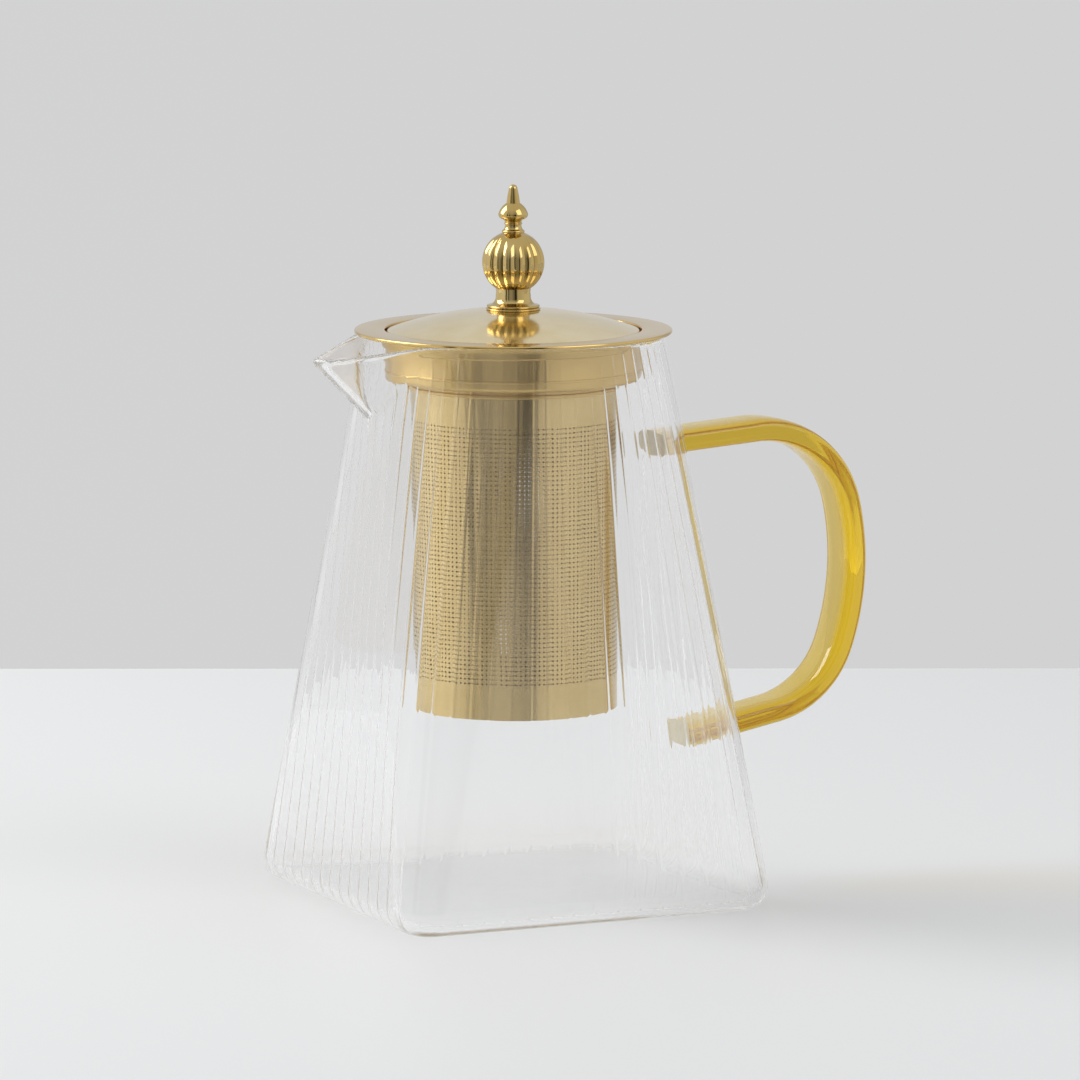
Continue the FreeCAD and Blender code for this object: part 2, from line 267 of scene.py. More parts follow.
def outline(height, inset=0.0):
    """Ring of the outer glass at a height, drawn in by an inset, and its outward directions."""
    up = height / body_height
    side = base_side + (2 * mouth_radius - base_side) * up - 2 * inset
    corner = base_corner + (mouth_radius - base_corner) * up - inset
    flat = side / 2 - corner
    arc = corner * np.pi / 2
    quarter = np.floor(share * 4)
    along = (share * 4 - quarter) * (2 * flat + arc)
    angle = np.clip((along - flat) / corner, 0, np.pi / 2)
    x = flat + corner * np.cos(angle) - np.maximum(along - flat - arc, 0)
    y = flat + corner * np.sin(angle) + np.minimum(along - flat, 0)
    turn = quarter * np.pi / 2
    points = [x * np.cos(turn) - y * np.sin(turn), x * np.sin(turn) + y * np.cos(turn)]
    outward = [np.cos(angle + turn), np.sin(angle + turn)]
    return np.stack(points + [np.full(columns, height)], -1), np.stack(outward + [np.zeros(columns)], -1)


print("glass height", round(float(body_height), 2), "mm, foot", base_side, "mm, mouth",
      2 * mouth_radius, "mm")

# %% [markdown]
# The pouring lip
#
# A glassblower pulls the lip out of the soft rim with a rod: the wall is drawn to a ridge, with a flat
# flank each side that runs back to the round mouth. Here each ring near the top is pushed out to the
# larger of its own radius and the flanks' straight lines, with a soft join, and the rim sinks at the tip.

# %% Pull the lip out of the outer wall
lip_height = 21.0
lip_low = body_height - lip_height
lip_drop = 4.9
lip_half_width = 20.5
lip_soft = 0.09
lip_join = 5.5
least_join = 0.05
rim_bulge = 0.4
rim_soft = 0.1
rim_early = 0.45
tip_radius = -node_box("glass_body")[0][0] - rim_bulge
hinge_x = -math.sqrt(mouth_radius ** 2 - lip_half_width ** 2)
flank = math.atan2(lip_half_width, hinge_x + tip_radius)


def pulled(ring, up):
    """A ring of the lip zone pushed out to the lip's flanks; up is its share of the zone's height."""
    radius = np.hypot(ring[:, 0], ring[:, 1])
    turn = np.abs(np.arctan2(ring[:, 1], -ring[:, 0]))
    turn = np.sqrt(turn ** 2 + lip_soft ** 2) - lip_soft
    wall = base_side / 2 - wall_slope * lip_low
    ridge = wall + up * (tip_radius - wall)
    lean = np.pi / 2 - flank
    slant = np.cos(lean - turn)
    line = ridge * np.cos(lean) * np.where(turn < lean, 1 / slant, slant)
    soft = max(lip_join * up, least_join)
    join = np.maximum(soft - np.abs(radius - line), 0) ** 2 / (4 * soft)
    return ring * np.append(np.ones(2), 0) * ((np.maximum(radius, line) + join) / radius)[:, None]


def rim_height(ring):
    """Height of the rim over each point of its ring: level, and sunk towards the lip's tip."""
    out = (hinge_x - ring[:, 0]) / (hinge_x + tip_radius)
    out = (out + np.sqrt(out ** 2 + rim_soft ** 2)) / 2
    return body_height - lip_drop * np.clip((1 + rim_early) * out - rim_early * out ** 2, 0, 1)


def outer_wall(levels, lip_levels):
    """Rings of the outer wall from the foot's round to just under the rim."""
    foot_top = foot_round * (1 + math.sin(math.atan(wall_slope)))
    rings = [outline(height)[0] for height in np.linspace(foot_top, lip_low, levels)]
    top = rim_height(pulled(outline(body_height)[0], 1.0)) - glass_wall / 2
    for up in np.linspace(0, 1, lip_levels + 1)[1:]:
        ring = pulled(outline(lip_low + up * (body_height - lip_low))[0], up)
        ring[:, 2] = lip_low + up * (top - lip_low)
        rings.append(ring)
    return np.array(rings)


wall = outer_wall(levels=22, lip_levels=22)
print("lip tip at x", round(float(wall[..., 0].min()), 2), "mm")

# %% [markdown]
# A wall with two sides
#
# The inner face is the outer face moved in by the wall's thickness along its own normals, so the wall is
# even round the lip as well. A half-round rim joins the two, a rounded foot closes the outside, and the
# thick floor closes the inside. All of it is one closed skin, because light has to enter and leave glass.

# %% Skin of the glass, outside and inside


def inward_of(rings):
    """Unit directions into the glass at every point of a grid of rings."""
    around = np.roll(rings, -1, 1) - np.roll(rings, 1, 1)
    upward = np.gradient(rings, axis=0)
    inward = np.cross(upward, around)
    return inward / np.linalg.norm(inward, axis=-1, keepdims=True), upward


round_steps = 9
disc_shares = np.array([0.4, 0.75, 0.93])
rib_top_gap = 1.2
rib_top_fade = 1.5
rib_lip_fade = 1.4


def foot_rings():
    """Rings of the underside from its middle outwards, then of the foot's round up to the wall."""
    lean = math.atan(wall_slope)
    centre = base_side / 2 - foot_round / math.cos(lean) - wall_slope * foot_round
    foot = []
    for angle in np.linspace(-np.pi / 2, lean, round_steps)[:-1]:
        height = foot_round * (1 + math.sin(angle))
        inset = base_side / 2 - wall_slope * height - centre - foot_round * math.cos(angle)
        foot.append(outline(height, inset)[0])
    return [circle(0, 0, 1)] + [foot[0] * scale for scale in disc_shares] + foot


def rib_fade():
    """Share of its height that a rib has at each point of the wall: none under the rim and on the lip."""
    plain = np.array([outline(min(ring[0, 2], body_height))[0] for ring in wall])
    pulled_out = np.hypot(wall[..., 0], wall[..., 1]) - np.hypot(plain[..., 0], plain[..., 1])
    below_rim = (body_height - rib_top_gap - wall[..., 2]) / rib_top_fade
    fade = np.clip(below_rim, 0, 1) * np.clip(1.0 - pulled_out / rib_lip_fade, 0, 1)
    return fade * fade * (3 - 2 * fade)


def glass_rings():
    """Rings from the middle of the underside, round the rim, to the middle of the floor, with rib reach."""
    rings = foot_rings() + list(wall)
    inward, upward = inward_of(wall)
    inner = wall + inward * glass_wall
    top_up = upward[-1] / np.linalg.norm(upward[-1], axis=-1, keepdims=True)
    middle = (wall[-1] + inner[-1]) / 2
    half = (wall[-1] - inner[-1]) / 2
    for angle in np.linspace(0, np.pi, round_steps)[1:-1]:
        rings.append(middle + half * math.cos(angle) + top_up * (glass_wall / 2) * math.sin(angle))
    reach = [np.zeros_like(ring) for ring in rings]
    fade = rib_fade()
    kept = [i for i in range(len(wall)) if wall[i, 0, 2] > floor_thickness + floor_round]
    for i in reversed(kept):
        rings.append(inner[i])
        reach.append(inward[i] * fade[i][:, None])
    low = inner[kept[0]]
    outward = outline(low[0, 2])[1]
    for angle in np.linspace(0, np.pi / 2, round_steps - 1)[1:]:
        ring = low - outward * floor_round * (1 - math.cos(angle))
        ring[:, 2] = low[:, 2] - (low[:, 2] - floor_thickness) * math.sin(angle)
        rings.append(ring)
        reach.append(-outward * math.cos(angle) ** 0.5)
    rings += [ring * np.array([scale, scale, 1]) for scale in disc_shares[::-1]]
    rings.append(circle(0, floor_thickness, 1))
    reach += [np.zeros_like(r) for r in rings[len(reach):]]
    return rings, reach


rings, reach = glass_rings()
print(len(rings), "rings of", columns, "points")

# %% [markdown]
# Ribs pressed into the inside
#
# The mould leaves fine upright ribs inside the wall, sixty-four of them: flat lands with hollow grooves
# between, which fan out with the faces and fade just under the rim and at the smooth lip. They repeat
# round the form, so a Geometry Nodes tree makes them: each point carries its share of the way round and
# the direction in which a rib would rise there.

# %% Ribs as a node tree, and the finished body


def relief_tree(name, steps, material):
    """Moves points along their stored reach, by a chain of sums on each one's share of the way round."""
    tree, given = new_tree(name, **{value: "Float" for _, value in steps if isinstance(value, str)})
    amount = add(tree, "GeometryNodeInputNamedAttribute", {"Name": "share_round"}, data_type="FLOAT")
    reach = add(tree, "GeometryNodeInputNamedAttribute", {"Name": "relief_reach"},
                data_type="FLOAT_VECTOR")
    for operation, value in steps:
        value = given[value] if isinstance(value, str) else value
        amount = add(tree, "ShaderNodeMath", {0: amount, 1: value}, operation=operation)
    shift = add(tree, "ShaderNodeVectorMath", {0: reach, "Scale": amount}, operation="SCALE")
    moved = add(tree, "GeometryNodeSetPosition", {"Geometry": given["Geometry"], "Offset": shift})
    return end_tree(tree, moved, material)


def store(piece, rings, shares, reach):
    """Keeps each point's share of the way round and its reach for a relief tree to read."""
    fields = {"share_round": ("FLOAT", "value", [shares[:len(ring)] for ring in rings]),
              "relief_reach": ("FLOAT_VECTOR", "vector", reach)}
    for name, (kind, field, values) in fields.items():
        data = piece.data.attributes.new(name, kind, "POINT").data
        data.foreach_set(field, np.concatenate(values).astype(np.float32).ravel())


# A point's place among the ribs, its way from the nearest groove's middle, that way in half grooves, a
# hollow curve, cut off level where the land starts, and the height of a rib.
rib_steps = [("MULTIPLY", "rib_count"), ("PINGPONG", 0.5), ("DIVIDE", "groove_half"),
             ("POWER", 2.0), ("MINIMUM", 1.0), ("MULTIPLY", "rib_height")]
glass = make_piece("ribbed_glass_body", *skin(rings), clear_glass)
store(glass, rings, share, reach)
run_tree(glass, relief_tree("ribs_inside_the_glass", rib_steps, clear_glass), sharp_angle=60.0,
         rib_count=float(rib_count), rib_height=rib_height * MM, groove_half=groove_half)
glass.visible_diffuse = False  # rays scattered by the table and other matt surfaces pass the glass by
wear(glass, "pot", "clear_glass", "glass_body")

# %% [markdown]
# Amber glass
#
# The handle is glass coloured in the melt, so the colour lies in its depth: thin edges look pale yellow
# and the long way through the strap looks deep amber. Volume absorption does just that. Part of the
# colour sits in the surface all the same, because rays that run along the strap would else turn orange.

# %% Amber glass coloured through


def coloured_glass():
    """Amber glass, drawn as a hot strap: clear skin with slow waves, colour that grows with depth."""
    material, tree, output = polished_glass(
        "amber_glass_drawn", "#EED38C", ior=1.5, lamp_colour="#F3E2A0", wave_width=9.0, wave_depth=0.02)
    depth = add(tree, "ShaderNodeVolumeAbsorption", {"Color": (0.95, 0.9, 0.06, 1.0), "Density": 150.0})
    tree.links.new(depth.outputs[0], output.inputs["Volume"])
    return material


def seam_painted_light():
    """Where the strap was pressed on: opaque pale skin, painted light for the light it carries into the
    wall.
    """
    patch_width = 1.2
    material, tree, output = blank_material("amber_glass_pressed_seam")
    place = add(tree, "ShaderNodeTexCoord").outputs["Object"]
    painted_light_patches = add(tree, "ShaderNodeTexNoise", {
        "Vector": place, "Scale": 1 / (patch_width * MM), "Detail": 2.0})
    tint = add(tree, "ShaderNodeValToRGB", {"Fac": painted_light_patches})
    # Painted light: these pale tints stand in for the light that the strap carries into the wall.
    tint.color_ramp.elements[0].color = linear("#D6CBAA")
    tint.color_ramp.elements[1].color = linear("#E2DBC6")
    seam = add(tree, "ShaderNodeBsdfPrincipled", {"Base Color": tint, "Roughness": 0.6})
    tree.links.new(seam.outputs[0], output.inputs["Surface"])
    return material


amber_glass = coloured_glass()
painted_light_seam = seam_painted_light()
print("materials:", amber_glass.name, painted_light_seam.name)

# %% [markdown]
# The strap handle
#
# A flat strap of hot glass is laid on the wall, bent round and pressed on again lower down. Its line is
# a straight run, three tangent bends and a straight run back to the wall; its section is a soft
# rectangle that swells a little at the roots. Both ends are trimmed on the slope of the pot's face.

# %% Sweep the handle's section along its line
strap_width = 15.5
strap_thickness = 6.5
section_fullness = 3.6
section_points = 56
root_flare = 0.05
handle_top = 120.5
handle_rise = 4.2
handle_run = 26.3
handle_bends = [(26.9, 81.1), (71.0, 32.4), (26.0, 59.8)]
fusing = 0.05


def toward(heading):
    """Unit vector along a heading in the XZ plane."""
    return np.array([math.cos(heading), math.sin(heading)])


def handle_line(step=1.1):
    """Points in the XZ plane along the handle, with their headings in radians."""
    heading = math.radians(handle_rise)
    point = np.array([base_side / 2 - wall_slope * handle_top, handle_top])
    stations = [(point + along * toward(heading), heading) for along in np.arange(0, handle_run, step)]
    point = point + handle_run * toward(heading)
    for radius, angle in handle_bends:
        bend = math.radians(angle)
        centre = point - radius * toward(heading + math.pi / 2)
        steps = round(bend * radius / step)
        for now in heading - bend * np.arange(steps) / steps:
            stations.append((centre + radius * toward(now + math.pi / 2), now))
        heading -= bend
        point = centre + radius * toward(heading + math.pi / 2)
    ahead = toward(heading)
    to_wall = (point[0] - base_side / 2 + wall_slope * point[1]) / -(ahead[0] + wall_slope * ahead[1])
    for along in np.linspace(0, to_wall, max(round(to_wall / step), 3) + 1):
        stations.append((point + along * ahead, heading))
    return stations


def strap_rings():
    """The strap's section at every station, with both ends trimmed to the wall."""
    angle = 2 * np.pi * np.arange(section_points) / section_points
    wide = np.sign(np.cos(angle)) * np.abs(np.cos(angle)) ** (2 / section_fullness)
    thick = np.sign(np.sin(angle)) * np.abs(np.sin(angle)) ** (2 / section_fullness)
    stations = handle_line()
    sections = []
    for index, (point, heading) in enumerate(stations):
        from_end = min(index, len(stations) - 1 - index)
        flare = 1 + root_flare * math.exp(-from_end)
        across = thick * strap_thickness / 2 * flare
        section = np.stack([point[0] - across * math.sin(heading), wide * strap_width / 2 * flare,
                            point[1] + across * math.cos(heading)], -1)
        if from_end == 0:
            ahead = np.array([math.cos(heading), 0, math.sin(heading)])
            beyond = section[:, 0] - base_side / 2 + wall_slope * section[:, 2] + fusing
            section = section - np.outer(beyond / (ahead[0] + wall_slope * ahead[2]), ahead)
        sections.append(section)
    ends = [sections[0].mean(0, keepdims=True), sections[-1].mean(0, keepdims=True)]
    return ends[:1] + sections + ends[1:]


handle = make_piece("amber_strap_handle", *skin(strap_rings()), amber_glass, sharp_angle=50.0)
# The end caps' triangles get the seam skin, painted light where the strap meets the wall.
handle.data.materials.append(painted_light_seam)
for face in handle.data.polygons:
    face.material_index = int(len(face.vertices) == 3)
handle.visible_diffuse = False
wear(handle, "pot", "amber_glass", "glass_handle")

# %% [markdown]
# Gold-coloured steel, brushed
#
# Strainer and lid are stainless sheet with a gold-coloured coating laid on in a vacuum. The sheet was
# brushed round and round on a spindle, so fine lines run with the turning, and they smear a reflection
# into upright streaks. Anisotropy turned across the lines gives the streaks, a fine bump the lines.

# %% Brushed gold for the strainer


def brushed_gold(name, deep, pale, rough, smear, polish_above=None):
    """Coated sheet steel, spindle-brushed: streaked reflections, lines that run round the axis."""
    line_width = 0.35  # real brushing is finer; this is as fine as the picture can show
    line_length = 40.0
    line_depth = 0.0006
    rough_swing = 0.02
    blotch_width = 12.0
    polish_rough = 0.12
    polish_edge = 0.4
    material, tree, output = blank_material(name)
    place = add(tree, "ShaderNodeTexCoord").outputs["Object"]
    along = 1 / (line_length * MM)
    ringed = add(tree, "ShaderNodeMapping", {
        "Vector": place, "Scale": (along, along, 1 / (line_width * MM))})
    lines = add(tree, "ShaderNodeTexNoise", {"Vector": ringed, "Scale": 1.0, "Detail": 2.0})
    blotch = add(tree, "ShaderNodeTexNoise", {
        "Vector": place, "Scale": 1 / (blotch_width * MM), "Detail": 2.0})
    tint = add(tree, "ShaderNodeValToRGB", {"Fac": blotch})
    tint.color_ramp.elements[0].color = linear(deep)
    tint.color_ramp.elements[1].color = linear(pale)
    roughness = add(tree, "ShaderNodeMapRange", {
        "Value": lines, "From Min": 0.3, "From Max": 0.7, "To Min": rough - rough_swing,
        "To Max": rough + rough_swing})
    if polish_above is not None:
        height = add(tree, "ShaderNodeSeparateXYZ", {"Vector": place}).outputs["Z"]
        roughness = add(tree, "ShaderNodeMapRange", {
            "Value": height, "From Min": polish_above * MM, "From Max": (polish_above + polish_edge) * MM,
            "To Min": roughness, "To Max": polish_rough})
    bump = add(tree, "ShaderNodeBump", {"Height": lines, "Distance": line_depth * MM, "Strength": 1.0})
    round_axis = add(tree, "ShaderNodeTangent", direction_type="RADIAL", axis="Z")
    metal = add(tree, "ShaderNodeBsdfPrincipled", {
        "Base Color": tint, "Metallic": 1.0, "Roughness": roughness, "Anisotropic": smear,
        "Anisotropic Rotation": 0.25, "Tangent": round_axis, "Normal": bump})
    tree.links.new(metal.outputs[0], output.inputs["Surface"])
    return material


basket_gold = brushed_gold("gold_coated_steel_brushed_basket", "#CBB27A", "#D8C18C",
                           rough=0.22, smear=0.95)
collar_gold = brushed_gold("gold_coated_steel_brushed_collar", "#CBAE6F", "#D8BB7D",
                           rough=0.33, smear=0.85, polish_above=151.0)
print("materials:", basket_gold.name, collar_gold.name)

# %% [markdown]
# Profiles for the lathe
#
# A turned or pressed part is a profile spun about the axis. Real sheet has no razor edges, so each
# corner of a profile may carry a small radius, and the helper rounds it with a short curve. Arcs that
# stand out from their chord by a bow make beads, coves and domes.

# %% Helpers for turned profiles


def eased(profile, steps=5):
    """Closed profile with rounded corners: a point is (radius, height) or (radius, height, easing)."""
    most_of_side = 0.48
    rounded = []
    for index, corner in enumerate(profile):
        point = np.array(corner[:2], float)
        if len(corner) < 3:
            rounded.append(point)
            continue
        before = np.array(profile[index - 1][:2], float)
        after = np.array(profile[(index + 1) % len(profile)][:2], float)
        start = before - point
        end = after - point
        start = point + start * min(corner[2] / np.linalg.norm(start), most_of_side)
        end = point + end * min(corner[2] / np.linalg.norm(end), most_of_side)
        for t in np.linspace(0, 1, steps + 1):
            rounded.append(start * (1 - t) ** 2 + 2 * point * t * (1 - t) + end * t * t)
    return rounded


def bowed(start, end, bow, steps=8):
    """Points after the start of an arc that stands out from its chord by a bow."""
    start, end = np.array(start[:2], float), np.array(end[:2], float)
    along = end - start
    out = np.array([along[1], -along[0]]) / np.linalg.norm(along)
    shares = np.linspace(0, 1, steps + 1)[1:]
    return [tuple(start + along * t + out * bow * 4 * t * (1 - t)) for t in shares]


def turn_piece(name, profile, material, steps=256, closed=True):
    """A profile spun about the axis."""
    return make_piece(name, *skin([circle(r, z, steps) for r, z in profile], closed), material, 32.0)


# %% [markdown]
# The stepped collar
#
# The collar hangs in the mouth: a flange lies on the glass rim, a step inside it carries the lid, the
# wall goes down to a rounded shoulder, and a short spigot below holds the basket. It is drawn from one
# disc of sheet, so the wall is the same thickness everywhere and every bend is a small radius.

# %% Turn the collar
sheet = 0.8
seat_gap = 0.1
seat_outer = 35.1
seat_depth = 3.7
ledge_width = 1.0
collar_depth = 13.5
shoulder_round = 2.6
basket_radius = 27.5
basket_sheet = 0.5
weld_gap = 0.1
bead_rise = 2.9
bead_half = 0.3
bead_depth = 0.25
slot_wall = 0.3
slot_rise = 0.95
flange_low_z = body_height + seat_gap
flange_high_z = node_box("strainer_collar")[1][2]
flange_radius = node_box("strainer_collar")[1][0]
seat_inner = seat_outer - sheet
ledge_top = flange_high_z - seat_depth
collar_inner = seat_inner - ledge_width
collar_outer = collar_inner + sheet
shoulder_low = flange_high_z - collar_depth
spigot_inner = basket_radius + weld_gap
spigot_low = node_box("strainer_collar")[0][2]
bead_z = shoulder_low + bead_rise
bead_out = collar_outer + bead_depth
slot_radius = spigot_inner + slot_wall
slot_low = spigot_low + slot_rise

collar = turn_piece("stepped_collar", eased([
    (seat_inner, flange_high_z, 0.45), (flange_radius, flange_high_z, 0.48),
    (flange_radius, flange_low_z, 0.48), (seat_outer, flange_low_z, 0.3),
    (seat_outer, ledge_top - sheet, 0.35), (collar_outer, ledge_top - sheet, 0.3),
    (collar_outer, bead_z + bead_half, 0.1), (bead_out, bead_z + bead_half, 0.2),
    (bead_out, bead_z - bead_half, 0.2), (collar_outer, bead_z - bead_half, 0.1),
    (collar_outer, shoulder_low, shoulder_round), (slot_radius, shoulder_low, 0.15),
    (slot_radius, slot_low, 0.1), (spigot_inner + sheet, slot_low, 0.3),
    (spigot_inner + sheet, spigot_low, 0.3), (spigot_inner, spigot_low, 0.2), (spigot_inner, shoulder_low),
    (basket_radius - basket_sheet, shoulder_low), (basket_radius - basket_sheet, shoulder_low + sheet),
    (collar_inner, shoulder_low + sheet, shoulder_round - sheet), (collar_inner, ledge_top, 0.3),
    (seat_inner, ledge_top, 0.3)]), collar_gold)
wear(collar, "strainer", "gold_steel", "strainer_collar")

# %% [markdown]
# The punched basket
#
# The basket is a sheet punched with small round holes in straight rows, rolled into a tube and welded.
# The tree does the same: one square of sheet with one hole is set out on a flat grid, the grid is rolled
# up by turning its length into an angle, and points that meet are welded. Eight-sided holes look round
# at this size. The tube is made in two halves, to keep each mesh light.

# %% Punch a flat sheet and roll it
hole_columns = 138
hole_rows = 56
hole_diameter = 0.52
holes_low = 60.5
holes_high = 129.8
weld_reach = 0.02
column_pitch = 2 * math.pi * basket_radius / hole_columns
row_pitch = (holes_high - holes_low) / hole_rows
basket_low = node_box("strainer_wall")[0][2]
basket_high = node_box("strainer_wall")[1][2]


def punched_cell():
    """Points and faces of one square of sheet with a hole, front at depth 0 and back a sheet behind."""
    angle = np.radians(22.5 + 45 * np.arange(8))
    hole = np.stack([np.cos(angle), np.sin(angle)], -1) * hole_diameter / 2
    corners = np.array([(1, 1), (-1, 1), (-1, -1), (1, -1)]) * np.array([column_pitch, row_pitch]) / 2
    flat = np.concatenate([corners, hole])
    n = len(flat)
    front = np.column_stack([flat, np.zeros(n)])
    back = np.column_stack([flat, np.full(n, -basket_sheet)])
    faces = []
    for k in range(4):
        first, second, third = 4 + 2 * k, 5 + 2 * k, 4 + (2 * k + 2) % 8
        after = (k + 1) % 4
        faces += [(k, second, first), (k, after, third, second)]
        faces += [(n + k, n + first, n + second), (n + k, n + second, n + third, n + after)]
        faces += [(first, second, n + second, n + first), (second, third, n + third, n + second)]
    return np.concatenate([front, back]), faces


def roll_tree(material):
    """Sets a cell out on a grid of rows and columns and rolls the sheet into a tube."""
    tree, given = new_tree("punched_sheet_rolled_up", columns="Int", rows="Int", length="Float",
                           width="Float", radius="Float", middle="Float")
    grid = add(tree, "GeometryNodeMeshGrid", {
        "Size X": given["length"], "Size Y": given["width"],
        "Vertices X": given["columns"], "Vertices Y": given["rows"]})
    cells = add(tree, "GeometryNodeInstanceOnPoints", {
        "Points": grid, "Instance": given["Geometry"]})
    flat = add(tree, "GeometryNodeRealizeInstances", {"Geometry": cells})
    place = add(tree, "ShaderNodeSeparateXYZ", {"Vector": add(tree, "GeometryNodeInputPosition")})
    radius = given["radius"]
    angle = add(tree, "ShaderNodeMath", {0: place.outputs["X"], 1: radius}, operation="DIVIDE")
    out = add(tree, "ShaderNodeMath", {0: place.outputs["Z"], 1: radius}, operation="ADD")
    cosine = add(tree, "ShaderNodeMath", {0: angle}, operation="COSINE")
    sine = add(tree, "ShaderNodeMath", {0: angle}, operation="SINE")
    x = add(tree, "ShaderNodeMath", {0: cosine, 1: out}, operation="MULTIPLY")
    y = add(tree, "ShaderNodeMath", {0: sine, 1: out}, operation="MULTIPLY")
    z = add(tree, "ShaderNodeMath", {0: place.outputs["Y"], 1: given["middle"]}, operation="ADD")
    wrapped = add(tree, "ShaderNodeCombineXYZ", {"X": x, "Y": y, "Z": z})
    rolled = add(tree, "GeometryNodeSetPosition", {"Geometry": flat, "Position": wrapped})
    welded = add(tree, "GeometryNodeMergeByDistance", {"Geometry": rolled, "Distance": weld_reach * MM})
    return end_tree(tree, welded, material)


def band(*corners):
    """Rings of plain sheet that are welded on to the punched part."""
    return skin([circle(radius, height, hole_columns) for radius, height in corners])


def weld(piece, *skins):
    """Joins plain bands on to a piece where their points meet."""
    edit = bmesh.new()
    edit.from_mesh(piece.data)
    for points, faces in skins:
        made = [edit.verts.new(point * MM) for point in points]
        for face in faces:
            edit.faces.new([made[i] for i in face])
    bmesh.ops.remove_doubles(edit, verts=edit.verts, dist=weld_reach * MM)
    edit.to_mesh(piece.data)
    edit.free()
    finish_mesh(piece.data, 40.0)


tree = roll_tree(basket_gold)
inner = basket_radius - basket_sheet
split = (holes_low + holes_high) / 2
ends = {"basket_upper_half": (split, holes_high, basket_high),
        "basket_lower_half": (split, holes_low, basket_low)}
for name, (near, far, edge) in ends.items():
    half = make_piece(name, *punched_cell(), basket_gold)
    run_tree(half, tree, columns=hole_columns, rows=hole_rows // 2, radius=basket_radius * MM,
             length=(hole_columns - 1) * column_pitch * MM, width=(hole_rows // 2 - 1) * row_pitch * MM,
             middle=(near + far) / 2 * MM)
    weld(half, band((inner, far), (inner, edge), (basket_radius, edge), (basket_radius, far)),
         band((inner, near), (basket_radius, near)))
    wear(half, "strainer", "gold_steel", "strainer_wall")

# %% [markdown]
# The basket's floor
#
# A disc closes the tube. It can't be seen from the front, and such baskets have a punched floor too, so
# it gets coarser holes on a square grid. Circles on grid points, kept where they lie well inside the rim,
# are filled together with the outer circle, which leaves the holes open; the sheet is then given depth.

# %% Fill a holed disc
floor_low, floor_high = node_box("strainer_floor")[0][2], node_box("strainer_floor")[1][2]


def disc_tree(material):
    """Fills a circle with a grid of round holes and gives the sheet its thickness."""
    tree, given = new_tree("punched_disc", radius="Float", holed="Float", pitch="Float", hole="Float",
                           thick="Float", low="Float")
    span = 21
    width = add(tree, "ShaderNodeMath", {0: given["pitch"], 1: span - 1.0}, operation="MULTIPLY")
    grid = add(tree, "GeometryNodeMeshGrid", {
        "Size X": width, "Size Y": width, "Vertices X": span, "Vertices Y": span})
    place = add(tree, "GeometryNodeInputPosition")
    away = add(tree, "ShaderNodeVectorMath", {0: place}, operation="LENGTH").outputs["Value"]
    keep = add(tree, "ShaderNodeMath", {0: away, 1: given["holed"]}, operation="LESS_THAN")
    hole = add(tree, "GeometryNodeCurvePrimitiveCircle", {
        "Resolution": 10, "Radius": given["hole"]})
    holes = add(tree, "GeometryNodeInstanceOnPoints", {"Points": grid, "Selection": keep, "Instance": hole})
    rim = add(tree, "GeometryNodeCurvePrimitiveCircle", {
        "Resolution": hole_columns, "Radius": given["radius"]})
    lines = add(tree, "GeometryNodeJoinGeometry")
    for part in (rim, add(tree, "GeometryNodeRealizeInstances", {"Geometry": holes})):
        tree.links.new(part.outputs[0], lines.inputs[0])
    flat = add(tree, "GeometryNodeFillCurve", {"Curve": lines})
    shift = add(tree, "ShaderNodeCombineXYZ", {"Z": given["low"]})
    low = add(tree, "GeometryNodeSetPosition", {"Geometry": flat, "Offset": shift})
    up = add(tree, "ShaderNodeCombineXYZ", {"Z": given["thick"]})
    raised = add(tree, "GeometryNodeExtrudeMesh", {
        "Mesh": low, "Offset": up, "Offset Scale": 1.0, "Individual": False})
    sides = add(tree, "GeometryNodeJoinGeometry")
    for part in (raised, add(tree, "GeometryNodeFlipFaces", {"Mesh": low})):
        tree.links.new(part.outputs[0], sides.inputs[0])
    welded = add(tree, "GeometryNodeMergeByDistance", {"Geometry": sides, "Distance": weld_reach / 2 * MM})
    return end_tree(tree, welded, material)


floor_disc = make_piece("basket_floor_disc", np.zeros((1, 3)), [], basket_gold)
run_tree(floor_disc, disc_tree(basket_gold), radius=basket_radius * MM, holed=24.0 * MM, pitch=2.3 * MM,
         hole=0.6 * MM, thick=(floor_high - floor_low) * MM, low=floor_low * MM)
wear(floor_disc, "strainer", "gold_steel", "strainer_floor")

# %% [markdown]
# Polished gold
#
# The dome of the lid and the finial are polished, so they mirror the room: pale where they face it,
# brown where they face the dark. Polishing leaves a faint haze and slow ripples, which are a slight
# change of roughness and a shallow bump, and handling leaves a few duller patches.

# %% Polished gold for lid and finial


def polished_gold(name, deep, pale, rough, ripple_width, ripple_depth):
    """Gold-coloured metal, buffed: near mirror with slow ripples and faint haze."""
    haze_width = 9.0
    haze_rough = 0.05
    material, tree, output = blank_material(name)
    place = add(tree, "ShaderNodeTexCoord").outputs["Object"]
    haze = add(tree, "ShaderNodeTexNoise", {"Vector": place, "Scale": 1 / (haze_width * MM), "Detail": 3.0})
    tint = add(tree, "ShaderNodeValToRGB", {"Fac": haze})
    tint.color_ramp.elements[0].color = linear(deep)
    tint.color_ramp.elements[1].color = linear(pale)
    tint.color_ramp.elements[0].position = 0.3
    tint.color_ramp.elements[1].position = 0.7
    roughness = add(tree, "ShaderNodeMapRange", {
        "Value": haze, "From Min": 0.3, "From Max": 0.75, "To Min": rough, "To Max": rough + haze_rough})
    metal = add(tree, "ShaderNodeBsdfPrincipled", {
        "Base Color": tint, "Metallic": 1.0, "Roughness": roughness,
        "Normal": rippled(tree, ripple_width, ripple_depth, detail=0.0)})
    tree.links.new(metal.outputs[0], output.inputs["Surface"])
    return material


